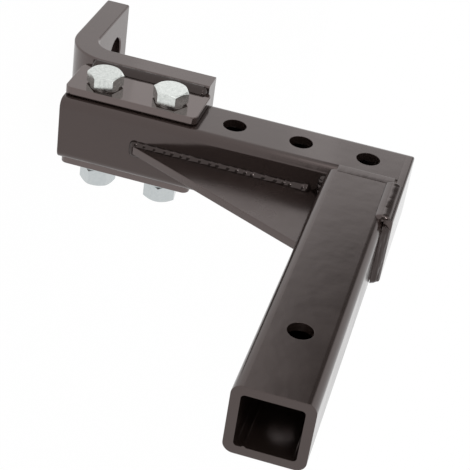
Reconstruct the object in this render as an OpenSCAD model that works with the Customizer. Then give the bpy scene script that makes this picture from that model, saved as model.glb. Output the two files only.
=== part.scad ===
// Adjustable ball mount for a 2 in receiver, set in the drop position.
// The shank runs along X with its open end at -X, the riser stands along Z,
// and the ball leg points to +X. The origin is the hitch pin hole's centre.

/* [Square tube] */
// Outside width of the square tube
tube_w = 50.8; // [46:0.1:60]
// Wall of the square tube
tube_wall = 6.35; // [4:0.05:8]
// Outer corner radius of the square tube
tube_r = 7; // [5:0.25:9]
// Inner corner radius of the square tube
tube_inner_r = 2.5; // [1:0.25:4]
// Height of the weld seam that runs along the inside of the tube
seam_h = 1; // [0.5:0.1:1.5]

/* [Shank] */
// Length of the shank, from its open end to the riser
shank_l = 260; // [200:1:320]
// Distance from the open end to the hitch pin hole
pin_setback = 63.5; // [50:0.5:80]
// Diameter of the hitch pin hole
pin_d = 16.7; // [14:0.1:18]

/* [Riser] */
// Distance between neighbouring bolt holes
hole_pitch = 50.8; // [46:0.2:56]
// Number of bolt holes up the riser
hole_count = 5; // [3:1:6]
// Distance from the last bolt hole to the riser's lower end
riser_margin = 25.4; // [20:0.2:34]
// Thickness of the plate that closes the riser's lower end
cap_t = 3; // [2:0.25:5]
// Thickness of the top plate, which closes the riser's upper end and covers the joint
top_plate_t = 6.35; // [4:0.05:8]
// Length of the top plate, forwards from the riser's rear face
top_plate_l = 101.6; // [90:0.2:120]

/* [Gusset] */
// Thickness of the gusset plate
gusset_t = 6.35; // [4:0.05:8]
// Length of the gusset along the riser
gusset_h = 144; // [110:1:150]
// Length of the gusset along the shank
gusset_l = 72; // [60:1:110]
// Blunt width left at the gusset's two points
gusset_nose = 3; // [2:0.25:5]
// Corner clipped off where shank and riser meet
gusset_clip = 9; // [8:0.5:14]

/* [Clamp] */
// Thickness of the two clamp plates
plate_t = 6.35; // [5:0.05:8]
// Length of the clamp plates along the riser
plate_l = 101.6; // [94:0.2:104]
// Distance that the clamp plates stop short of the riser's front face
plate_setback = 8.2; // [4:0.2:10]
// Radius of the plates' front corners
plate_front_r = 5; // [2:0.25:7]
// Radius of the plates' rear corners
plate_rear_r = 6.5; // [2:0.25:8]
// Clearance between the riser and each clamp plate
side_gap = 0.75; // [0.3:0.05:1.5]
// Clearance between the riser and the bar behind it
back_gap = 0.7; // [0.3:0.05:1.5]

/* [Ball bracket] */
// Distance that the bar's edge stands out past the head side plate
bar_step = 4.85; // [4:0.05:8]
// Thickness of the bent flat bar
bar_t = 19.05; // [16:0.05:22]
// Radius of the bar's long edges
bar_edge_r = 1.5; // [0.5:0.1:2]
// Inside radius of the bend
bend_r = 16; // [8:0.5:20]
// Distance of the bar's upper end below the top of the clamp plates
bar_drop = 3; // [0:0.25:6]
// Clearance between the riser's lower end and the ball leg
leg_gap = 0.5; // [0.3:0.05:4]
// Distance from the bar's rear face to the ball hole
ball_reach = 57.25; // [48:0.25:80]
// Distance from the ball hole to the end of the ball leg
ball_margin = 27.8; // [24:0.2:36]
// Diameter of the ball hole
ball_d = 26.2; // [19:0.1:32]
// Chamfer at both rims of the ball hole
ball_chamfer = 0.8; // [0.4:0.1:1.5]

/* [Bolts, nuts and washers] */
// Diameter of the bolts
bolt_d = 15.88; // [14:0.02:18]
// Length of the bolts under the head
bolt_l = 82.55; // [82:0.05:88]
// Play of the bolts in their holes, across the diameter
bolt_play = 1.62; // [0.8:0.02:2.2]
// Size across the flats of bolt heads and nuts
hex_af = 23.8; // [22.6:0.1:27]
// Height of the bolt heads with their washer face
head_h = 10.2; // [8:0.1:12]
// Height of the washer face below the bolt head
washer_face_h = 0.6; // [0.3:0.05:1]
// Height of the nuts
nut_h = 13.5; // [11:0.1:14]
// Thickness of the lock washers
washer_t = 3.4; // [2.6:0.1:3.8]
// Outside diameter of the lock washers
washer_d = 25.6; // [24:0.1:27]
// Width of the slit in the lock washers
washer_slit = 1; // [0.6:0.1:2]

/* [Weld beads] */
// Leg of the beads along the gusset
gusset_bead = 3.4; // [2.5:0.1:4]
// Leg of the bead below the shank's end
joint_bead = 4.2; // [3:0.1:4.5]
// Leg of the clamp plate beads across the plate
clamp_bead = 4.2; // [3:0.1:5]
// Rise of the beads beside the shank's end
groove_rise = 1.1; // [0.6:0.1:1.6]
// Length of one ripple along a bead
ripple = 3.2; // [2.4:0.1:6]
// Swell of the ripples, as a share of the bead's size
ripple_swell = 0.07; // [0.02:0.01:0.12]

/* [Hidden] */

$fn = 64;
// Cuts run this far past the faces that they open
over = 1;
// Play between a bolt and the nut or washer around it, on the radius
thread_play = 0.08;
washer_play = 0.3;
// A bead keeps this distance from the plate that it turns around
bead_fit = 0.1;
// The beads beside the shank's end climb this far onto its flat sides
groove_toe = 2.2;

half = tube_w / 2;
// The joint plane, where the shank meets the riser
joint_x = shank_l - pin_setback;
riser_x = joint_x + half;
riser_back_x = joint_x + tube_w;
riser_top_z = half;
top_plate_x = riser_back_x - top_plate_l;
// The beads along the top plate's sides climb this far up its edges
top_side_climb = 0.7 * top_plate_t;
// Leg of the bead across the top plate's front end
top_front_bead = 0.8 * top_plate_t;
last_hole_z = -(hole_count - 1) * hole_pitch;
riser_bottom_z = last_hole_z - riser_margin;
hole_d = bolt_d + bolt_play;

// The clamp is centred on its two bolts, in the two lowest holes
bolt_z = [last_hole_z + hole_pitch, last_hole_z];
clamp_z = (bolt_z[0] + bolt_z[1]) / 2;
plate_top_z = clamp_z + plate_l / 2;
plate_bottom_z = clamp_z - plate_l / 2;
plate_x = joint_x + plate_setback;
plate_in_y = half + side_gap;
plate_out_y = plate_in_y + plate_t;

// The bar's front face, and its lower edge on the nut side plate
bar_x = riser_back_x + back_gap;
bar_back_x = bar_x + bar_t;
bar_y = -plate_in_y;
bar_w = plate_out_y + bar_step - bar_y;
bar_top_z = plate_top_z - bar_drop;
leg_top_z = min(riser_bottom_z, plate_bottom_z) - leg_gap;
bend_x = bar_back_x + bend_r;
bend_z = leg_top_z + bend_r;
ball_x = bar_back_x + ball_reach;
ball_y = bar_y + bar_w / 2;
leg_end_x = ball_x + ball_margin;
// The nut side plate stops short of the bar's rear face by the same step
nut_plate_end_x = bar_back_x - bar_step;
clamp_bead_rise = bar_step - bar_edge_r - 0.05;

hex_r = hex_af / 2 / cos(30);
nut_y = -plate_out_y - washer_t;
// How far each hexagon is turned, from the riser's axis towards the bar
head_turn = [0, 12];
nut_turn = [37.5, 16];

black = "#3a3331";
zinc = "#dfe3dd";
bead_black = "#2c2725";

// Shapes that several pieces share

// A rectangle with round corners, from its centre, made of straight and round parts
module round_rect(w, h, r) {
    square([w - 2 * r, h], center = true);
    square([w, h - 2 * r], center = true);
    for (x = [-1, 1], y = [-1, 1])
        translate([x * (w / 2 - r), y * (h / 2 - r)]) circle(r);
}

// The square tube's section
module tube_section() {
    difference() {
        round_rect(tube_w, tube_w, tube_r);
        round_rect(tube_w - 2 * tube_wall, tube_w - 2 * tube_wall, tube_inner_r);
    }
}

// The seam's section: a low round ridge on the wall's inner face
module seam_section() {
    ridge_r = 1.6 * seam_h;
    translate([-(half - tube_wall) - ridge_r + seam_h, -half / 2]) circle(ridge_r);
}

// Turns a shape drawn in X and Y, with its height along Z, so that the height runs along +Y
module upright_to_y() {
    rotate([-90, 0, 0]) children();
}

// A plate drawn in X and Z, from y_from towards +Y
module plate_in_xz(y_from, t) {
    translate([0, y_from + t, 0]) rotate([90, 0, 0]) linear_extrude(t) children();
}

// Holes for bolts across the riser, at each height in the list
module cross_holes(heights, d, y_from, length) {
    for (z = heights)
        translate([riser_x, y_from, z]) upright_to_y() cylinder(d = d, h = length);
}

// Weld beads are rings of points, joined one after another.
// A station is [root point, u axis, v axis, travel direction, ring].
// A ring is a list of [along u, along v, along travel].

// The end faces are triangles given by their places in the ring.

module bead(stations, end_face) {
    n = len(stations[0][4]);
    last = len(stations) - 1;
    points = [for (s = stations, q = s[4]) s[0] + s[1] * q[0] + s[2] * q[1] + s[3] * q[2]];
    sides = [for (i = [0 : last - 1], j = [0 : n - 1])
        let (a = i * n + j, b = i * n + (j + 1) % n)
        each [[a, b, a + n], [b, b + n, a + n]]];
    first_end = [for (t = end_face) [t[2], t[1], t[0]]];
    last_end = [for (t = end_face) [for (j = t) last * n + j]];
    polyhedron(points, concat(first_end, sides, last_end));
}

// A fillet bead's ring: two flat legs, and a gently swelled face of five points
function fillet_ring(leg_u, leg_v, size, lag) = concat(
    [[0, 0, 0]],
    [for (i = [0 : 4])
        let (t = 90 * i / 4, share = i / 4, swell = 0.45)
        [leg_u * size * ((1 - share) * (1 - swell) + cos(t) * swell),
         leg_v * size * (share * (1 - swell) + sin(t) * swell),
         lag * sin(2 * t)]]);

fillet_end = [for (j = [1 : 4]) [0, j, j + 1]];

// The bead's size at one station: ripples, and a rounded start and stop
function swell_at(i, last) = i == 0 || i == last ? 0.35
    : i == 1 || i == last - 1 ? 0.8
    : i % 2 == 0 ? 1 + ripple_swell : 1 - ripple_swell;
function lag_at(i, last) = i == 0 || i == last ? 0 : ripple / 3;

// How many stations a straight stretch takes
function steps_for(length) = max(4, 2 * round(length / ripple));

// Stations along a straight root line
function straight_stations(from, to, u, v, leg_u, leg_v) =
    let (n = steps_for(norm(to - from)), d = (to - from) / norm(to - from))
    [for (i = [0 : n]) [from + (to - from) * i / n, u, v, d,
        fillet_ring(leg_u, leg_v, swell_at(i, n), lag_at(i, n))]];

// Root line of a bead that runs along one side of a plate, round its tip and back.
// It is drawn in a plane: x away from the plate's middle, y from the tip back along the plate.
// Each entry is [point, outward direction].
function loop_line(half_t, length) =
    let (n = steps_for(length), m = 2, side = half_t + bead_fit)
    concat(
        [for (i = [0 : n - 1]) [[side, length * (1 - i / n)], [1, 0]]],
        [for (a = [0 : 30 : 90]) [[half_t + bead_fit * cos(a), -bead_fit * sin(a)], [cos(a), -sin(a)]]],
        [for (i = [1 : m - 1]) [[half_t * (1 - 2 * i / m), -bead_fit], [0, -1]]],
        [for (a = [0 : 30 : 90]) [[-half_t - bead_fit * sin(a), -bead_fit * cos(a)], [-sin(a), -cos(a)]]],
        [for (i = [1 : n]) [[-side, length * i / n], [-1, 0]]]);

// Stations of such a loop, placed by its tip, the axis along the plate and the bead's rise
function loop_stations(tip, across, along, rise, half_t, length, leg) =
    let (line = loop_line(half_t, length), last = len(line) - 1)
    [for (i = [0 : last])
        let (p = line[i][0], o = line[i][1], u = across * o[0] + along * o[1],
             d = across * o[1] - along * o[0])
        [tip + across * p[0] + along * p[1], u, rise, d,
         fillet_ring(leg, leg, swell_at(i, last), lag_at(i, last))]];

// The groove bead's ring: it fills the space between a square edge and a tube's round corner,
// climbs a little way up the face beside the edge, and swells above both. Measured from the edge.
function groove_ring(size, climb) = concat(
    [[0, 0, 0], [-climb, 0, 0], [-0.4 * climb, 0.7 * groove_rise * size, 0],
     [2.2, groove_rise * size, 0], [5.2, 0.75 * groove_rise * size, 0], [tube_r + 1, 0, 0]],
    [for (a = [0 : 15 : 75])
        let (r = tube_r / cos(7.5))
        [tube_r - r * sin(a + 7.5), -tube_r + r * cos(a + 7.5), 0]]);

groove_end = concat(
    [[3, 4, 5], [3, 5, 6], [3, 6, 0]],
    [[3, 0, 1], [3, 1, 2]],
    [for (j = [6 : 10]) [0, j, j + 1]]);

function groove_stations(from, to, u, v, climb) =
    let (n = steps_for(norm(to - from)), d = (to - from) / norm(to - from))
    [for (i = [0 : n]) [from + (to - from) * i / n, u, v, d, groove_ring(swell_at(i, n), climb)]];

// The welded frame: shank, riser, end plates and gusset

module shank_tube() {
    color(black) difference() {
        translate([-pin_setback, 0, 0]) rotate([90, 0, 90]) linear_extrude(shank_l)
            union() {
                tube_section();
                seam_section();
            }
        translate([0, -half - over, 0]) upright_to_y() cylinder(d = pin_d, h = tube_w + 2 * over);
    }
}

module riser_tube() {
    heights = [for (i = [0 : hole_count - 1]) -i * hole_pitch];
    color(black) difference() {
        translate([riser_x, 0, riser_bottom_z + cap_t])
            linear_extrude(riser_top_z - riser_bottom_z - cap_t) tube_section();
        cross_holes(heights, hole_d, -half - over, tube_w + 2 * over);
    }
}

// One plate on the riser's upper end and the shank, as wide as both, with the riser's rear corners
module riser_top_cap() {
    color(black) translate([0, 0, riser_top_z]) linear_extrude(top_plate_t) {
        translate([top_plate_x, -half]) square([top_plate_l - tube_r, tube_w]);
        translate([riser_x, 0]) round_rect(tube_w, tube_w, tube_r);
    }
}

module riser_bottom_cap() {
    color(black) translate([riser_x, 0, riser_bottom_z]) linear_extrude(cap_t)
        round_rect(tube_w, tube_w, tube_r);
}

module gusset_plate() {
    color(black) plate_in_xz(-gusset_t / 2, gusset_t) polygon([
        [joint_x - gusset_clip, -half],
        [joint_x - gusset_l, -half],
        [joint_x - gusset_l, -half - gusset_nose],
        [joint_x - gusset_nose, -half - gusset_h],
        [joint_x, -half - gusset_h],
        [joint_x, -half - gusset_clip]]);
}

// The clamp: a bent bar and two side plates, bolted through the riser

module bar_section() {
    round_rect(bar_t, bar_w, bar_edge_r);
}

module ball_bracket() {
    color(black) difference() {
        union() {
            // Upright leg behind the riser
            translate([bar_x + bar_t / 2, ball_y, bend_z]) linear_extrude(bar_top_z - bend_z) bar_section();
            // Bend, turned about an axis along Y
            translate([bend_x, ball_y, bend_z]) upright_to_y() rotate([0, 0, 90])
                rotate_extrude(angle = 90) translate([bend_r + bar_t / 2, 0]) bar_section();
            // Ball leg
            translate([bend_x, ball_y, leg_top_z - bar_t / 2]) rotate([90, 0, 90])
                linear_extrude(leg_end_x - bend_x) rotate(90) bar_section();
        }
        translate([ball_x, ball_y, leg_top_z - bar_t - over]) cylinder(d = ball_d, h = bar_t + 2 * over);
        ball_rim(leg_top_z, 1);
        ball_rim(leg_top_z - bar_t, -1);
    }
}

// The cone that breaks one rim of the ball hole; side is 1 for the upper face, -1 for the lower
module ball_rim(z, side) {
    translate([ball_x, ball_y, z]) mirror([0, 0, side > 0 ? 0 : 1])
        translate([0, 0, -ball_chamfer])
        cylinder(r1 = ball_d / 2, r2 = ball_d / 2 + ball_chamfer + over, h = ball_chamfer + over);
}

// A side plate's outline from the front edge to x_end, with its own radius at each end
module clamp_outline(x_end) {
    w = x_end - plate_x;
    translate([plate_x, plate_bottom_z]) {
        translate([plate_front_r, 0]) square([w - plate_front_r - plate_rear_r, plate_l]);
        translate([0, plate_front_r]) square([plate_front_r, plate_l - 2 * plate_front_r]);
        translate([w - plate_rear_r, plate_rear_r]) square([plate_rear_r, plate_l - 2 * plate_rear_r]);
        for (z = [plate_front_r, plate_l - plate_front_r])
            translate([plate_front_r, z]) circle(plate_front_r);
        for (z = [plate_rear_r, plate_l - plate_rear_r])
            translate([w - plate_rear_r, z]) circle(plate_rear_r);
    }
}

module clamp_plate(y_from, x_end) {
    color(black) difference() {
        plate_in_xz(y_from, plate_t) clamp_outline(x_end);
        cross_holes(bolt_z, hole_d, y_from - over, plate_t + 2 * over);
    }
}

module head_side_plate() clamp_plate(plate_in_y, bar_x);
module nut_side_plate() clamp_plate(-plate_out_y, nut_plate_end_x);

// Bolts, lock washers and nuts

// A hexagon with its outer end turned to a cone, height along +Z
module chamfered_hex(h, both_ends) {
    flat_r = hex_af / 2 * 0.97;
    slope = tan(30);
    drop = (hex_r - flat_r) * slope;
    intersection() {
        cylinder(r = hex_r, h = h, $fn = 6);
        rotate_extrude() polygon(both_ends
            ? [[0, 0], [flat_r, 0], [hex_r, drop], [hex_r, h - drop], [flat_r, h], [0, h]]
            : [[0, 0], [hex_r, 0], [hex_r, h - drop], [flat_r, h], [0, h]]);
    }
}

module clamp_bolt(i) {
    tip = bolt_d * 0.08;
    color(zinc) translate([riser_x, plate_out_y, bolt_z[i]]) upright_to_y() {
        rotate(head_turn[i] - 90) translate([0, 0, washer_face_h])
            chamfered_hex(head_h - washer_face_h, false);
        cylinder(d = hex_af * 0.96, h = washer_face_h);
        translate([0, 0, -bolt_l]) rotate_extrude() polygon([
            [0, 0], [bolt_d / 2 - tip, 0], [bolt_d / 2, tip], [bolt_d / 2, bolt_l], [0, bolt_l]]);
    }
}

// A split ring; its two ends meet at a slanted slit
module lock_washer(i) {
    color(zinc) translate([riser_x, nut_y, bolt_z[i]]) upright_to_y() difference() {
        cylinder(d = washer_d, h = washer_t);
        translate([0, 0, -over]) cylinder(d = bolt_d + 2 * washer_play, h = washer_t + 2 * over);
        rotate(nut_turn[i]) translate([washer_d / 2, 0, washer_t / 2]) rotate([25, 0, 0])
            cube([washer_d - bolt_d, washer_slit, 3 * washer_t], center = true);
    }
}

module clamp_nut(i) {
    color(zinc) translate([riser_x, nut_y - nut_h, bolt_z[i]]) upright_to_y() difference() {
        rotate(nut_turn[i] - 90) chamfered_hex(nut_h, true);
        translate([0, 0, -over]) cylinder(d = bolt_d + 2 * thread_play, h = nut_h + 2 * over);
    }
}

module upper_bolt() clamp_bolt(0);
module lower_bolt() clamp_bolt(1);
module upper_lock_washer() lock_washer(0);
module lower_lock_washer() lock_washer(1);
module upper_nut() clamp_nut(0);
module lower_nut() clamp_nut(1);

// Weld beads

// Down one side of the gusset on the riser's face, round its tip and up the other side
module weld_gusset_riser() {
    color(bead_black) bead(loop_stations([joint_x, 0, -half - gusset_h], [0, 1, 0], [0, 0, 1], [-1, 0, 0],
        gusset_t / 2, gusset_h - gusset_clip, gusset_bead), fillet_end);
}

// The same along the shank's lower face
module weld_gusset_shank() {
    color(bead_black) bead(loop_stations([joint_x - gusset_l, 0, -half], [0, -1, 0], [1, 0, 0], [0, 0, -1],
        gusset_t / 2, gusset_l - gusset_clip, gusset_bead), fillet_end);
}

// In the corner between the head side plate's outer face and the bar's front face
module weld_head_plate() {
    color(bead_black) bead(straight_stations(
        [bar_x, plate_out_y, plate_bottom_z + plate_rear_r], [bar_x, plate_out_y, bar_top_z - 1],
        [-1, 0, 0], [0, 1, 0], clamp_bead, clamp_bead_rise), fillet_end);
}

// In the corner between the nut side plate's rear edge and the bar's lower edge
module weld_nut_plate() {
    color(bead_black) bead(straight_stations(
        [nut_plate_end_x, bar_y, plate_bottom_z + plate_rear_r],
        [nut_plate_end_x, bar_y, bar_top_z - plate_rear_r],
        [0, -1, 0], [1, 0, 0], clamp_bead, clamp_bead_rise), fillet_end);
}

// Beside the shank's end, in the groove left by the riser's round corner
module joint_groove(side) {
    color(bead_black) bead(groove_stations(
        [joint_x, side * half, -side * (half - tube_r)], [joint_x, side * half, side * (half - tube_r)],
        [1, 0, 0], [0, side, 0], groove_toe), groove_end);
}

module weld_joint_head_side() joint_groove(1);
module weld_joint_nut_side() joint_groove(-1);

// Under the shank's end, through the gusset's clipped corner
module weld_joint_bottom() {
    flat = half - tube_r;
    color(bead_black) bead(straight_stations([joint_x, -flat, -half], [joint_x, flat, -half],
        [0, 0, -1], [-1, 0, 0], joint_bead, joint_bead), fillet_end);
}

// Along the top plate's two sides, over the shank's round corners
module joint_top_side(side) {
    front = [top_plate_x, side * half, half];
    back = [joint_x - groove_toe - bead_fit, side * half, half];
    color(bead_black) bead(groove_stations(side > 0 ? front : back, side > 0 ? back : front,
        [0, 0, -1], [0, side, 0], top_side_climb), groove_end);
}

module weld_joint_top_head_side() joint_top_side(1);
module weld_joint_top_nut_side() joint_top_side(-1);

// Across the top plate's front end, on the shank's top face
module weld_joint_top_front() {
    flat = half - tube_r;
    color(bead_black) bead(straight_stations([top_plate_x, -flat, half], [top_plate_x, flat, half],
        [-1, 0, 0], [0, 0, 1], top_front_bead, top_front_bead), fillet_end);
}

shank_tube();
riser_tube();
riser_top_cap();
riser_bottom_cap();
gusset_plate();
ball_bracket();
head_side_plate();
nut_side_plate();
upper_bolt();
lower_bolt();
upper_lock_washer();
lower_lock_washer();
upper_nut();
lower_nut();
weld_gusset_riser();
weld_gusset_shank();
weld_head_plate();
weld_nut_plate();
weld_joint_head_side();
weld_joint_nut_side();
weld_joint_bottom();
weld_joint_top_head_side();
weld_joint_top_nut_side();
weld_joint_top_front();
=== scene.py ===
import math

import bmesh
import bpy
from mathutils import Matrix, Vector


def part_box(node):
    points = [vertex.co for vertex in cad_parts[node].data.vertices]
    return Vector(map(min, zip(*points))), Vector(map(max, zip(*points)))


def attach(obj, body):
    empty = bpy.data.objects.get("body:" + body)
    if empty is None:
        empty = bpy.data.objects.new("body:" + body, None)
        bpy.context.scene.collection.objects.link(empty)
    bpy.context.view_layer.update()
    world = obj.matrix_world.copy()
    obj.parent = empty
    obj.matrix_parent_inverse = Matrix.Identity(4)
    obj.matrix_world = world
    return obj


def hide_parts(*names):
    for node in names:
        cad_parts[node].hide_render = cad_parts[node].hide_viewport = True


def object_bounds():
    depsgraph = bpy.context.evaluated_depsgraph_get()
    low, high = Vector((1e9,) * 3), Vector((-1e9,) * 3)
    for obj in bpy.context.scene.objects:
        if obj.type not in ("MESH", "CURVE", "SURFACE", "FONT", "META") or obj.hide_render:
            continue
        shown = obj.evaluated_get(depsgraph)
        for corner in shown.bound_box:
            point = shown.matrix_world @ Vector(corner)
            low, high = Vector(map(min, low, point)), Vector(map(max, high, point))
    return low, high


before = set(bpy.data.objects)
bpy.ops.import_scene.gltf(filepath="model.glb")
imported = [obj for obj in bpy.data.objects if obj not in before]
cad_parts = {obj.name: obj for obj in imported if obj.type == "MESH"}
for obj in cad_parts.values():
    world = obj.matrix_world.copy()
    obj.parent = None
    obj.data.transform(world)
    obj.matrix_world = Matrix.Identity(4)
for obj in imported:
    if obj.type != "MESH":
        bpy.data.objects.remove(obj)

cad_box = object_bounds()
mm = 0.001

# The studio
# The camera stands where the photograph's camera stood, above the bolt heads and in front of the riser.
# A pale floor lies under the ball leg. Soft lamps stand behind the part, over it and beside the camera.
camera_right = Vector((0.23558, 0.14669, 0.96072))
camera_down = Vector((-0.53267, -0.80734, 0.25389))
camera_forward = Vector((0.81288, -0.57156, -0.11206))
camera_place = Vector((-646.18, 512.93, 70.07)) * mm
photo_side = 470
focal_px = 1361.07
optical_centre_px = (278.16, 277.91)
sensor_mm = 36

camera_data = bpy.data.cameras.new("camera")
camera_data.sensor_width = sensor_mm
camera_data.lens = sensor_mm * focal_px / photo_side
camera_data.shift_x = 0.5 - optical_centre_px[0] / photo_side
camera_data.shift_y = optical_centre_px[1] / photo_side - 0.5
camera = bpy.data.objects.new("camera", camera_data)
camera_axes = Matrix((camera_right, -camera_down, -camera_forward)).transposed()
camera.matrix_world = Matrix.Translation(camera_place) @ camera_axes.to_4x4()
bpy.context.collection.objects.link(camera)
bpy.context.scene.camera = camera
bpy.context.scene.view_settings.view_transform = "Standard"


def link(tree, from_node, output, to_node, to_input):
    """Joins two sockets of a node tree."""
    tree.links.new(from_node.outputs[output], to_node.inputs[to_input])


def white_for_eye_and_gloss(tree):
    """Adds a mask that is 1 for camera, glossy and transmitted rays."""
    path = tree.nodes.new("ShaderNodeLightPath")
    either = tree.nodes.new("ShaderNodeMath")
    either.operation = "MAXIMUM"
    both = tree.nodes.new("ShaderNodeMath")
    both.operation = "MAXIMUM"
    link(tree, path, "Is Camera Ray", either, 0)
    link(tree, path, "Is Glossy Ray", either, 1)
    link(tree, either, 0, both, 0)
    link(tree, path, "Is Transmission Ray", both, 1)
    return both


room_grey = 0.85
world = bpy.data.worlds.new("studio")
world.use_nodes = True
bpy.context.scene.world = world
sky = world.node_tree
sky.nodes.clear()
sky_out = sky.nodes.new("ShaderNodeOutputWorld")
sky_mix = sky.nodes.new("ShaderNodeMixShader")
room_light = sky.nodes.new("ShaderNodeBackground")
room_light.inputs["Color"].default_value = (room_grey, room_grey, room_grey, 1)
white_sky = sky.nodes.new("ShaderNodeBackground")
white_sky.inputs["Color"].default_value = (1, 1, 1, 1)


def card_edge(across, from_value, to_value):
    """Fades from 0 to 1 across one edge of a dim card, by how far a ray leans along the given direction."""
    side = sky.nodes.new("ShaderNodeVectorMath")
    side.operation = "DOT_PRODUCT"
    side.inputs[1].default_value = across
    link(sky, sky_place, "Generated", side, 0)
    fade = sky.nodes.new("ShaderNodeMapRange")
    fade.interpolation_type = "SMOOTHSTEP"
    fade.inputs["From Min"].default_value = from_value
    fade.inputs["From Max"].default_value = to_value
    link(sky, side, "Value", fade, "Value")
    return fade


def combined(operation, first, second, second_output=0):
    """The product or the larger of two nodes of the sky."""
    node = sky.nodes.new("ShaderNodeMath")
    node.operation = operation
    link(sky, first, 0, node, 0)
    link(sky, second, second_output, node, 1)
    return node


# A dim card hangs in the sky behind the shank, and its reflection shades the shank's far half.
# The room is dim behind the camera too, which darkens what is turned to it. Only glossy rays see either.
card_strength = 0.15
sky_place = sky.nodes.new("ShaderNodeTexCoord")
sky_ray = sky.nodes.new("ShaderNodeLightPath")
card = card_edge((0, 1, 0.5), 0.465, 0.56)
for across, from_value, to_value in (((0, 1, 0), 0.98, 0.85), ((0, 0, 1), -0.125, -0.07),
                                     ((0, 0, 1), 0.45, 0.3), ((1, 0, 0), 0.3, 0.5)):
    card = combined("MULTIPLY", card, card_edge(across, from_value, to_value))
dim = combined("MAXIMUM", card, card_edge(-camera_forward, 0.74, 0.88))
dim_for_gloss = combined("MULTIPLY", dim, sky_ray, "Is Glossy Ray")
card_tone = sky.nodes.new("ShaderNodeMapRange")
card_tone.inputs["To Min"].default_value = 1
card_tone.inputs["To Max"].default_value = card_strength
link(sky, dim_for_gloss, 0, card_tone, "Value")
link(sky, card_tone, 0, white_sky, "Strength")
link(sky, white_for_eye_and_gloss(sky), 0, sky_mix, 0)
link(sky, room_light, 0, sky_mix, 1)
link(sky, white_sky, 0, sky_mix, 2)
link(sky, sky_mix, 0, sky_out, 0)

floor_grey = 0.9
floor_whiteness = 0.985
floor_reach = 1.7
floor_gap = 0.5 * mm
floor_material = bpy.data.materials.new("pale_floor")
floor_material.use_nodes = True
floor_tree = floor_material.node_tree
floor_tree.nodes.clear()
floor_out = floor_tree.nodes.new("ShaderNodeOutputMaterial")
floor_mix = floor_tree.nodes.new("ShaderNodeMixShader")
floor_paper = floor_tree.nodes.new("ShaderNodeBsdfDiffuse")
floor_paper.inputs["Color"].default_value = (floor_grey, floor_grey, floor_grey, 1)
floor_glow = floor_tree.nodes.new("ShaderNodeEmission")
floor_share = floor_tree.nodes.new("ShaderNodeMath")
floor_share.operation = "MULTIPLY"
floor_share.inputs[1].default_value = floor_whiteness
link(floor_tree, white_for_eye_and_gloss(floor_tree), 0, floor_share, 0)
link(floor_tree, floor_share, 0, floor_mix, 0)
link(floor_tree, floor_paper, 0, floor_mix, 1)
link(floor_tree, floor_glow, 0, floor_mix, 2)
link(floor_tree, floor_mix, 0, floor_out, 0)

floor_z = cad_box[0].z - floor_gap
floor_mesh = bpy.data.meshes.new("floor")
floor_mesh.from_pydata(
    [(x, y, floor_z) for x, y in ((-floor_reach, -floor_reach), (floor_reach, -floor_reach),
                                  (floor_reach, floor_reach), (-floor_reach, floor_reach))],
    [], [(0, 1, 2, 3)])
floor_mesh.materials.append(floor_material)
floor = bpy.data.objects.new("floor", floor_mesh)
bpy.context.collection.objects.link(floor)


def soft_lamp(name, direction, distance, size, radiance):
    """A square lamp that looks back at the part; radiance is its own brightness, where 1 is white."""
    data = bpy.data.lights.new(name, "AREA")
    data.shape = "SQUARE"
    data.size = size
    data.energy = radiance * math.pi * size * size
    lamp = bpy.data.objects.new(name, data)
    aim = Vector(direction).normalized()
    centre = (cad_box[0] + cad_box[1]) / 2
    turned = aim.to_track_quat("Z", "Y").to_matrix().to_4x4()
    lamp.matrix_world = Matrix.Translation(centre + aim * distance) @ turned
    lamp.visible_camera = False
    bpy.context.collection.objects.link(lamp)


soft_lamp("far_softbox", (0.96, 0.25, -0.12), distance=1.6, size=1.0, radiance=0.25)
soft_lamp("far_card", (0.30, 0.15, -0.04), distance=0.36, size=0.20, radiance=0.15)
soft_lamp("overhead_softbox", (-0.25, 0.95, 0.05), distance=1.6, size=1.2, radiance=0.7)
soft_lamp("near_lamp", (-0.50, 0.75, 0.43), distance=1.8, size=0.3, radiance=13)

# The shank
# A square steel tube that slides into the receiver, painted gloss black after welding.
# Its mouth is sawn and its pin hole drilled, so their edges are only lightly broken.
dents_per_metre = 95
clouds_per_metre = 22
streak_stretch = (900, 900, 26)
cloud_spread = (0.3, 0.7)


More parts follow.
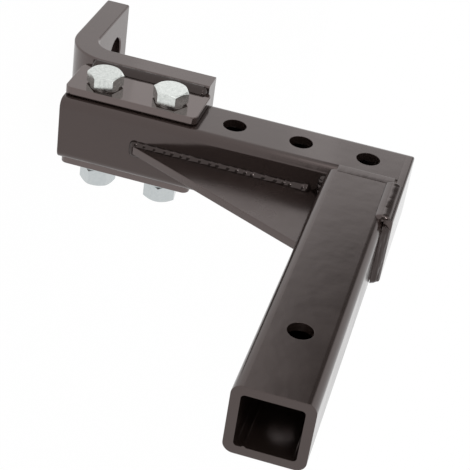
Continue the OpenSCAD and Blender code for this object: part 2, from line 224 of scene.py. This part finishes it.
def sprayed_paint_group():
    """The waviness of sprayed paint and of the steel below it, with a slow change of gloss."""
    group = bpy.data.node_groups.new("sprayed_paint", "ShaderNodeTree")
    for name in ("Wave Size", "Wave Height", "Dent Height", "Streak Height", "Smoothest", "Roughest"):
        group.interface.new_socket(name, in_out="INPUT", socket_type="NodeSocketFloat")
    group.interface.new_socket("Normal", in_out="OUTPUT", socket_type="NodeSocketVector")
    group.interface.new_socket("Roughness", in_out="OUTPUT", socket_type="NodeSocketFloat")
    group.interface.new_socket("Cloud", in_out="OUTPUT", socket_type="NodeSocketFloat")
    given = group.nodes.new("NodeGroupInput")
    result = group.nodes.new("NodeGroupOutput")
    place = group.nodes.new("ShaderNodeTexCoord")

    def noise(size, detail, stretch=None):
        """A noise on the piece's own coordinates; size is its scale, or the input that gives it."""
        node = group.nodes.new("ShaderNodeTexNoise")
        node.inputs["Detail"].default_value = detail
        if stretch:
            drawn_out = group.nodes.new("ShaderNodeVectorMath")
            drawn_out.operation = "MULTIPLY"
            drawn_out.inputs[1].default_value = stretch
            link(group, place, "Object", drawn_out, 0)
            link(group, drawn_out, 0, node, "Vector")
        else:
            link(group, place, "Object", node, "Vector")
        if isinstance(size, str):
            link(group, given, size, node, "Scale")
        else:
            node.inputs["Scale"].default_value = size
        return node

    normal = None
    for texture, height in ((noise(dents_per_metre, 1), "Dent Height"),
                            (noise(1, 3, streak_stretch), "Streak Height"),
                            (noise("Wave Size", 2), "Wave Height")):
        bump = group.nodes.new("ShaderNodeBump")
        bump.inputs["Strength"].default_value = 1
        link(group, texture, "Fac", bump, "Height")
        link(group, given, height, bump, "Distance")
        if normal:
            link(group, normal, 0, bump, "Normal")
        normal = bump
    link(group, normal, 0, result, "Normal")
    cloud = noise(clouds_per_metre, 4)
    spread = group.nodes.new("ShaderNodeMapRange")
    spread.inputs["From Min"].default_value = cloud_spread[0]
    spread.inputs["From Max"].default_value = cloud_spread[1]
    link(group, cloud, "Fac", spread, "Value")
    link(group, given, "Smoothest", spread, "To Min")
    link(group, given, "Roughest", spread, "To Max")
    link(group, spread, 0, result, "Roughness")
    link(group, cloud, "Fac", result, "Cloud")
    return group


sprayed_paint = sprayed_paint_group()
cast_of_shine = (1, 0.83, 0.80, 1)


def gloss_black(name, wave_mm, waves_per_metre=420, dent_mm=0.04, streak_mm=0.0, roughness=(0.06, 0.11),
                dark=(0.010, 0.007, 0.006), light=(0.020, 0.013, 0.011), ior=1.75):
    """Gloss black paint with a brown cast where the light catches it. Each pair is the least and the most."""
    material = bpy.data.materials.new(name)
    material.use_nodes = True
    tree = material.node_tree
    shader = tree.nodes["Principled BSDF"]
    spray = tree.nodes.new("ShaderNodeGroup")
    spray.node_tree = sprayed_paint
    for socket, value in (("Wave Size", waves_per_metre), ("Wave Height", wave_mm * mm),
                          ("Dent Height", dent_mm * mm), ("Streak Height", streak_mm * mm),
                          ("Smoothest", roughness[0]), ("Roughest", roughness[1])):
        spray.inputs[socket].default_value = value
    tone = tree.nodes.new("ShaderNodeMix")
    tone.data_type = "RGBA"
    tone.inputs["A"].default_value = (*dark, 1)
    tone.inputs["B"].default_value = (*light, 1)
    link(tree, spray, "Cloud", tone, "Factor")
    tree.links.new(tone.outputs["Result"], shader.inputs["Base Color"])
    link(tree, spray, "Roughness", shader, "Roughness")
    link(tree, spray, "Normal", shader, "Normal")
    shader.inputs["IOR"].default_value = ior
    shader.inputs["Specular Tint"].default_value = cast_of_shine
    return material


tube_paint = gloss_black("tube_paint", 0.008, dent_mm=0.06, roughness=(0.12, 0.19))


def finished(piece, slot, *nodes):
    """Settles a finished piece on the part, in place of its solids."""
    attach(piece, "root")
    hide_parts(*nodes)


merge_mm = 0.001
flat_degrees = 0.4
ease_segments = 3
face_weight = 60


def eased_copy(node, material, ease_mm, slot="black_paint", sharp_above=32, share=None, reshape=None):
    """A copy of a solid with its sharp edges eased, its facets merged and its round faces smooth.
    share gives the part of the easing that an edge gets, from its two ends; reshape moves a vertex first."""
    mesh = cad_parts[node].data.copy()
    mesh.materials.clear()
    mesh.materials.append(material)
    work = bmesh.new()
    work.from_mesh(mesh)
    bmesh.ops.remove_doubles(work, verts=work.verts, dist=merge_mm * mm)
    bmesh.ops.dissolve_limit(work, angle_limit=math.radians(flat_degrees), verts=work.verts, edges=work.edges)
    if reshape:
        for vert in work.verts:
            reshape(vert.co)
    weight = work.edges.layers.float.new("bevel_weight_edge")
    for edge in work.edges:
        if len(edge.link_faces) == 2 and edge.calc_face_angle() > math.radians(sharp_above):
            edge[weight] = share(edge.verts[0].co, edge.verts[1].co) if share else 1
    for face in work.faces:
        face.smooth = True
        face.material_index = 0
    work.to_mesh(mesh)
    work.free()
    if "custom_normal" in mesh.attributes:
        mesh.attributes.remove(mesh.attributes["custom_normal"])
    rough = bpy.data.objects.new(node + "_rough", mesh)
    bpy.context.collection.objects.link(rough)
    ease = rough.modifiers.new("ease", "BEVEL")
    ease.width = ease_mm * mm
    ease.segments = ease_segments
    ease.limit_method = "WEIGHT"
    ease.miter_outer = "MITER_ARC"
    shade = rough.modifiers.new("shade", "WEIGHTED_NORMAL")
    shade.weight = face_weight
    shade.keep_sharp = False
    bpy.context.view_layer.update()
    seen = bpy.context.evaluated_depsgraph_get()
    done = bpy.data.meshes.new_from_object(rough.evaluated_get(seen))
    bpy.data.objects.remove(rough)
    done.name = node + "_eased"
    piece = bpy.data.objects.new(node + ("_painted" if slot == "black_paint" else "_plated"), done)
    bpy.context.collection.objects.link(piece)
    finished(piece, slot, node)


eased_copy("shank_tube", tube_paint, 0.7)

# The riser and the plates on its ends
# The same square tube, cross-drilled every two inches for the clamp bolts.
# A thin plate closes its lower end. A thick one closes the upper end and runs on over the shank.
riser_low, riser_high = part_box("riser_tube")
at_an_end = 0.1 * mm
seam_share = 0.06


def not_at_seams(a, b):
    """The tube's two sawn ends are welded flush to the plates, so they keep no groove."""
    for end in (riser_low.z, riser_high.z):
        if max(abs(a.z - end), abs(b.z - end)) < at_an_end:
            return seam_share
    return 1


eased_copy("riser_tube", tube_paint, 0.7, share=not_at_seams)
eased_copy("riser_bottom_cap", tube_paint, 0.6, share=not_at_seams)
plate_paint = gloss_black("plate_paint", 0.006, waves_per_metre=350, dent_mm=0.02)
top_plate_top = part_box("riser_top_cap")[1].z
under_share = 0.05
eased_copy("riser_top_cap", plate_paint, 1.6,
           share=lambda a, b: 1 if min(a.z, b.z) > top_plate_top - at_an_end else under_share)

# The gusset
# A flame-cut triangle of quarter-inch plate under the joint, its corner clipped for the weld behind it.
# Its edges are broken a little where the burr was ground off.
gusset_paint = gloss_black("gusset_paint", 0.01, waves_per_metre=300, dent_mm=0.05, roughness=(0.2, 0.3),
                           ior=1.9)
eased_copy("gusset_plate", gusset_paint, 0.6)

# The ball bracket
# A three-quarter-inch flat bar bent hot, with its rolled edges round and its ends sheared.
# The side plates of the clamp are welded to its upright leg.
bar_paint = gloss_black("bar_paint", 0.012, waves_per_metre=260, dent_mm=0.05, streak_mm=0.014,
                        roughness=(0.12, 0.22), ior=1.95)
eased_copy("ball_bracket", bar_paint, 0.7)
clamp_paint = gloss_black("clamp_paint", 0.006, waves_per_metre=350, dent_mm=0.02, ior=2.15)
eased_copy("head_side_plate", clamp_paint, 0.8)
eased_copy("nut_side_plate", clamp_paint, 0.8)

# The weld beads
# Each bead is laid by hand in short overlapping puddles, then painted with the rest.
# A bead starts and stops round, and swells and wanders a little on the way.
# Several are drawn fatter or longer than their solids, nearer to what the photograph shows.
weld_paint = gloss_black("weld_paint", 0.012, waves_per_metre=400, dent_mm=0.06, roughness=(0.05, 0.08),
                         dark=(0.008, 0.006, 0.005), light=(0.014, 0.010, 0.009), ior=1.55)
ring_steps = 12
station_mm = 0.32
drifts_per_metre = 60
drift_share = 1.5
puddle_roundness = 2.2
streaks_per_metre = 45
streaks_across = 7


def ripple_tree():
    """Pushes a bead's face out in overlapping crescents and lets its width wander."""
    tree = bpy.data.node_groups.new("weld_ripples", "GeometryNodeTree")
    tree.interface.new_socket("Geometry", in_out="INPUT", socket_type="NodeSocketGeometry")
    for name in ("Ripple Length", "Ripple Height", "Lag", "Wander", "Streak", "Seed"):
        tree.interface.new_socket(name, in_out="INPUT", socket_type="NodeSocketFloat")
    tree.interface.new_socket("Material", in_out="INPUT", socket_type="NodeSocketMaterial")
    tree.interface.new_socket("Geometry", in_out="OUTPUT", socket_type="NodeSocketGeometry")
    given = tree.nodes.new("NodeGroupInput")
    result = tree.nodes.new("NodeGroupOutput")

    def attribute(name, kind="FLOAT"):
        """What the bead's mesh says at each of its points."""
        node = tree.nodes.new("GeometryNodeInputNamedAttribute")
        node.data_type = kind
        node.inputs["Name"].default_value = name
        return node

    def sum_of(operation, first, second, third=None):
        """One step of arithmetic on sockets or numbers."""
        node = tree.nodes.new("ShaderNodeMath")
        node.operation = operation
        for place, value in enumerate((first, second, third)):
            if value is None:
                continue
            if isinstance(value, (int, float)):
                node.inputs[place].default_value = value
            else:
                tree.links.new(value, node.inputs[place])
        return node.outputs[0]

    along = attribute("along").outputs["Attribute"]
    across = attribute("across").outputs["Attribute"]
    face = attribute("face").outputs["Attribute"]
    # The crescent: a puddle's middle lags behind its two toes
    arch = sum_of("SINE", sum_of("MULTIPLY", across, math.pi), 0)
    place_vector = tree.nodes.new("ShaderNodeCombineXYZ")
    tree.links.new(sum_of("MULTIPLY", along, drifts_per_metre), place_vector.inputs[0])
    tree.links.new(given.outputs["Seed"], place_vector.inputs[1])
    drift = tree.nodes.new("ShaderNodeTexNoise")
    drift.inputs["Scale"].default_value = 1
    drift.inputs["Detail"].default_value = 1
    tree.links.new(place_vector.outputs[0], drift.inputs["Vector"])
    uneven = sum_of("SUBTRACT", drift.outputs["Fac"], 0.5)
    lagged = sum_of("ADD", along, sum_of("MULTIPLY", arch, given.outputs["Lag"]))
    drift_reach = sum_of("MULTIPLY", given.outputs["Ripple Length"], drift_share)
    stretched = sum_of("ADD", lagged, sum_of("MULTIPLY", uneven, drift_reach))
    phase = sum_of("FRACT", sum_of("DIVIDE", stretched, given.outputs["Ripple Length"]), 0)
    # Each puddle is high in its middle, and meets the next in a crease
    off_middle = sum_of("ABSOLUTE", sum_of("MULTIPLY_ADD", phase, 2, -1), 0)
    scale = sum_of("SUBTRACT", 1, sum_of("POWER", off_middle, puddle_roundness))
    height = sum_of("MULTIPLY", scale, given.outputs["Ripple Height"])
    swell = sum_of("MULTIPLY", uneven, given.outputs["Wander"])
    # Streaks drawn out along the bead
    streak_place = tree.nodes.new("ShaderNodeCombineXYZ")
    tree.links.new(sum_of("MULTIPLY", along, streaks_per_metre), streak_place.inputs[0])
    tree.links.new(sum_of("MULTIPLY", across, streaks_across), streak_place.inputs[1])
    tree.links.new(given.outputs["Seed"], streak_place.inputs[2])
    streaks = tree.nodes.new("ShaderNodeTexNoise")
    streaks.inputs["Scale"].default_value = 1
    streaks.inputs["Detail"].default_value = 2
    tree.links.new(streak_place.outputs[0], streaks.inputs["Vector"])
    drawn = sum_of("MULTIPLY", sum_of("SUBTRACT", streaks.outputs["Fac"], 0.5), given.outputs["Streak"])
    push = sum_of("MULTIPLY", sum_of("ADD", sum_of("ADD", height, swell), drawn), face)
    offset = tree.nodes.new("ShaderNodeVectorMath")
    offset.operation = "SCALE"
    tree.links.new(attribute("out", "FLOAT_VECTOR").outputs["Attribute"], offset.inputs[0])
    tree.links.new(push, offset.inputs["Scale"])
    move = tree.nodes.new("GeometryNodeSetPosition")
    tree.links.new(given.outputs["Geometry"], move.inputs["Geometry"])
    tree.links.new(offset.outputs[0], move.inputs["Offset"])
    real = tree.nodes.new("GeometryNodeRealizeInstances")
    tree.links.new(move.outputs[0], real.inputs[0])
    paint = tree.nodes.new("GeometryNodeSetMaterial")
    tree.links.new(real.outputs[0], paint.inputs["Geometry"])
    tree.links.new(given.outputs["Material"], paint.inputs["Material"])
    tree.links.new(paint.outputs[0], result.inputs[0])
    return tree


weld_ripples = ripple_tree()


def socket_id(tree, name):
    """The identifier of a tree's named input."""
    for item in tree.interface.items_tree:
        if item.item_type == "SOCKET" and item.in_out == "INPUT" and item.name == name:
            return item.identifier
    raise KeyError(name)


def line_stations(start, end):
    """Places along a straight root line, with the way travelled so far."""
    start, end = Vector(start), Vector(end)
    count = max(8, round((end - start).length / (station_mm * mm)))
    return [(start.lerp(end, i / count), (end - start).length * i / count) for i in range(count + 1)]


blunt_share = 0.12
toe_sink = -0.05
groove_fullness = 0.8
ripple_fade = 0.6


def round_ends(travel, length, reach):
    """How full the bead is: it starts and stops in a quarter circle on a small blunt face."""
    near = min(travel, length - travel) / reach
    return blunt_share + (1 - blunt_share) * math.sqrt(max(0, 1 - (1 - min(near, 1)) ** 2))


def corner_profile(leg_u, leg_v, crown):
    """The face of a bead in an inner corner, from leg to leg. crown is its swell past a flat face."""
    points = []
    for i in range(ring_steps + 1):
        t, turn = i / ring_steps, i / ring_steps * math.pi / 2
        points.append((leg_u * ((1 - t) * (1 - crown) + math.cos(turn) * crown),
                       leg_v * (t * (1 - crown) + math.sin(turn) * crown)))
    return points


def groove_profile(climb, reach, rise):
    """The face of a bead that fills a groove between two faces, from one toe to the other."""
    points = []
    for i in range(ring_steps + 1):
        t = i / ring_steps
        height = rise * math.sin(math.pi * t) ** groove_fullness if 0 < t < 1 else toe_sink
        points.append((reach + (-climb - reach) * t, height))
    return points


def bead(name, node, stations, profile, middle=(0, 0), ripple=(2.6, 0.32), lag=1.0, wander=0.5,
         streak=0.3, seed=1, taper=3.6, fat=None, paint=None):
    """A bead along its stations, each (root, u axis, v axis, travel). profile is its face in mm along u
    and v, middle the point behind the face that it closes on, taper the length of its round start and stop.
    fat is how long the first puddles are, and how much fatter than the rest."""
    length = stations[-1][3]
    verts, along, across, face, out = [], [], [], [], []
    for root, u, v, travel in stations:
        full = round_ends(travel, length, taper * mm)
        if fat:
            full *= 1 + fat[1] * max(0, 1 - travel / (fat[0] * mm)) ** 0.5
        for i, (x, y) in enumerate(profile):
            t = i / ring_steps
            x, y = middle[0] + (x - middle[0]) * full, middle[1] + (y - middle[1]) * full
            verts.append(root + u * x * mm + v * y * mm)
            along.append(travel)
            across.append(t)
            face.append(full * math.sin(math.pi * t) ** ripple_fade if 0 < i < ring_steps else 0)
            before, after = profile[max(i - 1, 0)], profile[min(i + 1, ring_steps)]
            out.append((u * (after[1] - before[1]) - v * (after[0] - before[0])).normalized())
        verts.append(root + u * middle[0] * mm + v * middle[1] * mm)
        along.append(travel)
        across.append(0)
        face.append(0)
        out.append(Vector((0, 0, 0)))
    n = ring_steps + 2
    faces = [(i * n + j, i * n + (j + 1) % n, (i + 1) * n + (j + 1) % n, (i + 1) * n + j)
             for i in range(len(stations) - 1) for j in range(n)]
    faces.append(tuple(range(n - 1, -1, -1)))
    faces.append(tuple((len(stations) - 1) * n + j for j in range(n)))
    mesh = bpy.data.meshes.new(name)
    mesh.from_pydata(verts, [], faces)
    for key, values in (("along", along), ("across", across), ("face", face)):
        mesh.attributes.new(key, "FLOAT", "POINT").data.foreach_set("value", values)
    out_values = [number for direction in out for number in direction]
    mesh.attributes.new("out", "FLOAT_VECTOR", "POINT").data.foreach_set("vector", out_values)
    smooth_outward(mesh)
    rough = bpy.data.objects.new(name + "_rough", mesh)
    bpy.context.collection.objects.link(rough)
    ripples = rough.modifiers.new("ripples", "NODES")
    ripples.node_group = weld_ripples
    for key, value in (("Ripple Length", ripple[0] * mm), ("Ripple Height", ripple[1] * mm),
                       ("Lag", lag * mm), ("Wander", wander * mm), ("Streak", streak * mm),
                       ("Seed", float(seed)), ("Material", paint or weld_paint)):
        ripples[socket_id(weld_ripples, key)] = value
    bpy.context.view_layer.update()
    seen = bpy.context.evaluated_depsgraph_get()
    done = bpy.data.meshes.new_from_object(rough.evaluated_get(seen))
    bpy.data.objects.remove(rough)
    for key in ("along", "across", "face", "out"):
        done.attributes.remove(done.attributes[key])
    piece = bpy.data.objects.new(name, done)
    bpy.context.collection.objects.link(piece)
    finished(piece, "painted_weld", node)


def smooth_outward(mesh):
    """Turns every face outwards and shades it smooth."""
    work = bmesh.new()
    work.from_mesh(mesh)
    bmesh.ops.recalc_face_normals(work, faces=work.faces)
    for one in work.faces:
        one.smooth = True
    work.to_mesh(mesh)
    work.free()


def straight_bead(node, start, end, u, v, profile, **style):
    """A bead along a straight corner or groove."""
    stations = [(place, Vector(u), Vector(v), travel) for place, travel in line_stations(start, end)]
    bead(node + "_beaded", node, stations, profile, **style)


turn_steps = 10
bead_gap = 0.05 * mm


def looped_bead(node, tip, across_axis, along_axis, rise, half_t, length, leg, crown=0.45, **style):
    """A bead down one side of a plate, round its tip and up the other side.
    It turns each corner of the tip in an arc at half its leg."""
    tip, side, back = Vector(tip), Vector(across_axis), Vector(along_axis)
    stations, travel = [], 0.0
    legs = [(tip + side * half_t + back * length, tip + side * half_t, side),
            (tip + side * half_t, tip - side * half_t, -back),
            (tip - side * half_t, tip - side * half_t + back * length, -side)]
    for number, (start, end, facing) in enumerate(legs):
        if number:
            before = legs[number - 1][2]
            for i in range(1, turn_steps):
                a = math.pi / 2 * i / turn_steps
                facing_now = before * math.cos(a) + facing * math.sin(a)
                travel += leg * mm * 0.5 * math.pi / 2 / turn_steps
                stations.append((start + facing_now * bead_gap, facing_now, Vector(rise), travel))
        base = travel
        for place, gone in line_stations(start, end):
            travel = base + gone
            stations.append((place + facing * bead_gap, facing, Vector(rise), travel))
    bead(node + "_beaded", node, stations, corner_profile(leg, leg, crown), **style)


# Round the gusset, on the riser and on the shank
joint_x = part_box("riser_tube")[0].x
tube_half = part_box("shank_tube")[1].y
groove_middle = (3, -2.5)
gusset_low, gusset_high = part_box("gusset_plate")
looped_bead("weld_gusset_riser", (joint_x, 0, gusset_low.z), (0, 1, 0), (0, 0, 1), (-1, 0, 0), gusset_high.y,
            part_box("weld_gusset_riser")[1].z - gusset_low.z, leg=3.2, crown=0.5,
            ripple=(7, 0.5), lag=1.6, wander=1.2, seed=3, fat=(14, 0.6))
looped_bead("weld_gusset_shank", (gusset_low.x, 0, -tube_half), (0, -1, 0), (1, 0, 0), (0, 0, -1),
            gusset_high.y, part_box("weld_gusset_shank")[1].x - gusset_low.x, leg=3.3,
            ripple=(6, 0.4), lag=1.0, wander=0.8, seed=8)

# Along the side plates of the clamp, on the bar
bar_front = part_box("ball_bracket")[0].x
head_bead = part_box("weld_head_plate")
straight_bead("weld_head_plate", (bar_front, head_bead[0].y, head_bead[0].z),
              (bar_front, head_bead[0].y, head_bead[1].z), (-1, 0, 0), (0, 1, 0),
              corner_profile(7.0, 4.5, 0.5), ripple=(6.2, 0.1), lag=2.0, wander=0.8, seed=11)
nut_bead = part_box("weld_nut_plate")
straight_bead("weld_nut_plate", (nut_bead[0].x, nut_bead[1].y, nut_bead[0].z),
              (nut_bead[0].x, nut_bead[1].y, nut_bead[1].z), (0, -1, 0), (1, 0, 0),
              corner_profile(4.2, 3.2, 0.35), ripple=(3.0, 0.25), lag=1.2, wander=0.5, seed=13)

# Where the shank's end meets the riser: coarse below, flush beside it and on up to the top plate
side_bead_rise = 5.5 * mm
bottom_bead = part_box("weld_joint_bottom")
straight_bead("weld_joint_bottom", (joint_x, bottom_bead[0].y, -tube_half),
              (joint_x, bottom_bead[1].y, -tube_half), (0, 0, -1), (-1, 0, 0), corner_profile(4.6, 4.6, 0.7),
              ripple=(4.4, 0.8), lag=1.8, wander=1.6, seed=17)
for side, facing in (("head_side", 1), ("nut_side", -1)):
    low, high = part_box("weld_joint_" + side)
    straight_bead("weld_joint_" + side, (joint_x, facing * tube_half, low.z),
                  (joint_x, facing * tube_half, high.z + side_bead_rise),
                  (1, 0, 0), (0, facing, 0), groove_profile(3.0, 8, 0.1), middle=groove_middle,
                  ripple=(6.0, 0.03), lag=1.0, wander=0.2, streak=0.05, seed=29 + facing, taper=0.4,
                  paint=tube_paint)

# Round the top plate's edge on the shank: fat along its sides, drawn out across its front
run_on = 3 * mm
run_past_corner = 1.2 * mm
plate_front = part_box("riser_top_cap")[0].x
for side, facing in (("head_side", 1), ("nut_side", -1)):
    low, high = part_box("weld_joint_top_" + side)
    straight_bead("weld_joint_top_" + side, (low.x, facing * tube_half, tube_half),
                  (high.x + run_on, facing * tube_half, tube_half),
                  (0, 0, -1), (0, facing, 0), groove_profile(4.5, 7.2, 1.9), middle=groove_middle,
                  ripple=(16, 0.08), lag=3.0, wander=0.8, streak=0.2, seed=19 + 4 * facing, taper=3,
                  paint=plate_paint)
front_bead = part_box("weld_joint_top_front")
straight_bead("weld_joint_top_front", (plate_front, -tube_half - run_past_corner, tube_half),
              (plate_front, front_bead[1].y + run_on, tube_half), (-1, 0, 0), (0, 0, 1),
              corner_profile(5.8, 5.9, 0.35), ripple=(14.0, 0.15), lag=3.0, wander=1.2, streak=4.5,
              seed=41, taper=5)

# The bolts
# Two bright zinc-plated hex bolts with forged heads. Their threads are left smooth.
# Under each nut sits a split lock washer, flattened by the nut.
grains_per_metre = 900
mottles_per_metre = 420
mottle_spread = (0.34, 0.58)
grain_mm = 0.02


def bright_zinc(name, dark, light, roughness, grain_strength):
    """Zinc plate: pale metal with a crystalline mottle. roughness is the least and the most."""
    material = bpy.data.materials.new(name)
    material.use_nodes = True
    tree = material.node_tree
    shader = tree.nodes["Principled BSDF"]
    shader.inputs["Metallic"].default_value = 1
    place = tree.nodes.new("ShaderNodeTexCoord")
    grain = tree.nodes.new("ShaderNodeTexVoronoi")
    grain.inputs["Scale"].default_value = grains_per_metre
    link(tree, place, "Object", grain, "Vector")
    mottle = tree.nodes.new("ShaderNodeTexNoise")
    mottle.inputs["Scale"].default_value = mottles_per_metre
    mottle.inputs["Detail"].default_value = 5
    mottle.inputs["Roughness"].default_value = 0.7
    link(tree, place, "Object", mottle, "Vector")
    tone = tree.nodes.new("ShaderNodeValToRGB")
    for stop, position, color in zip(tone.color_ramp.elements, mottle_spread, (dark, light)):
        stop.position = position
        stop.color = (*color, 1)
    link(tree, mottle, "Fac", tone, "Fac")
    link(tree, tone, "Color", shader, "Base Color")
    gloss = tree.nodes.new("ShaderNodeMapRange")
    gloss.inputs["To Min"].default_value = roughness[0]
    gloss.inputs["To Max"].default_value = roughness[1]
    link(tree, mottle, "Fac", gloss, "Value")
    link(tree, gloss, 0, shader, "Roughness")
    bump = tree.nodes.new("ShaderNodeBump")
    bump.inputs["Distance"].default_value = grain_mm * mm
    bump.inputs["Strength"].default_value = grain_strength
    link(tree, grain, "Distance", bump, "Height")
    link(tree, bump, 0, shader, "Normal")
    return material


forged_zinc = bright_zinc("forged_zinc", (0.56, 0.585, 0.565), (0.72, 0.745, 0.72), (0.16, 0.34), 0.4)
pressed_zinc = bright_zinc("pressed_zinc", (0.50, 0.53, 0.54), (0.54, 0.57, 0.575), (0.12, 0.2), 0.08)
under_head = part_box("head_side_plate")[1].y
foot_of_flats = (0.3 * mm, 1.2 * mm)
raised_foot = 1.4 * mm


def raise_flats(place):
    """Lifts the flats off the plate, on the round face under a forged head."""
    if foot_of_flats[0] < place.y - under_head < foot_of_flats[1]:
        place.y = under_head + raised_foot


for rank in ("upper", "lower"):
    eased_copy(rank + "_bolt", forged_zinc, 0.25, slot="zinc_plate", sharp_above=20, reshape=raise_flats)
    eased_copy(rank + "_nut", pressed_zinc, 0.25, slot="zinc_plate", sharp_above=20)
    eased_copy(rank + "_lock_washer", pressed_zinc, 0.25, slot="zinc_plate", sharp_above=20)
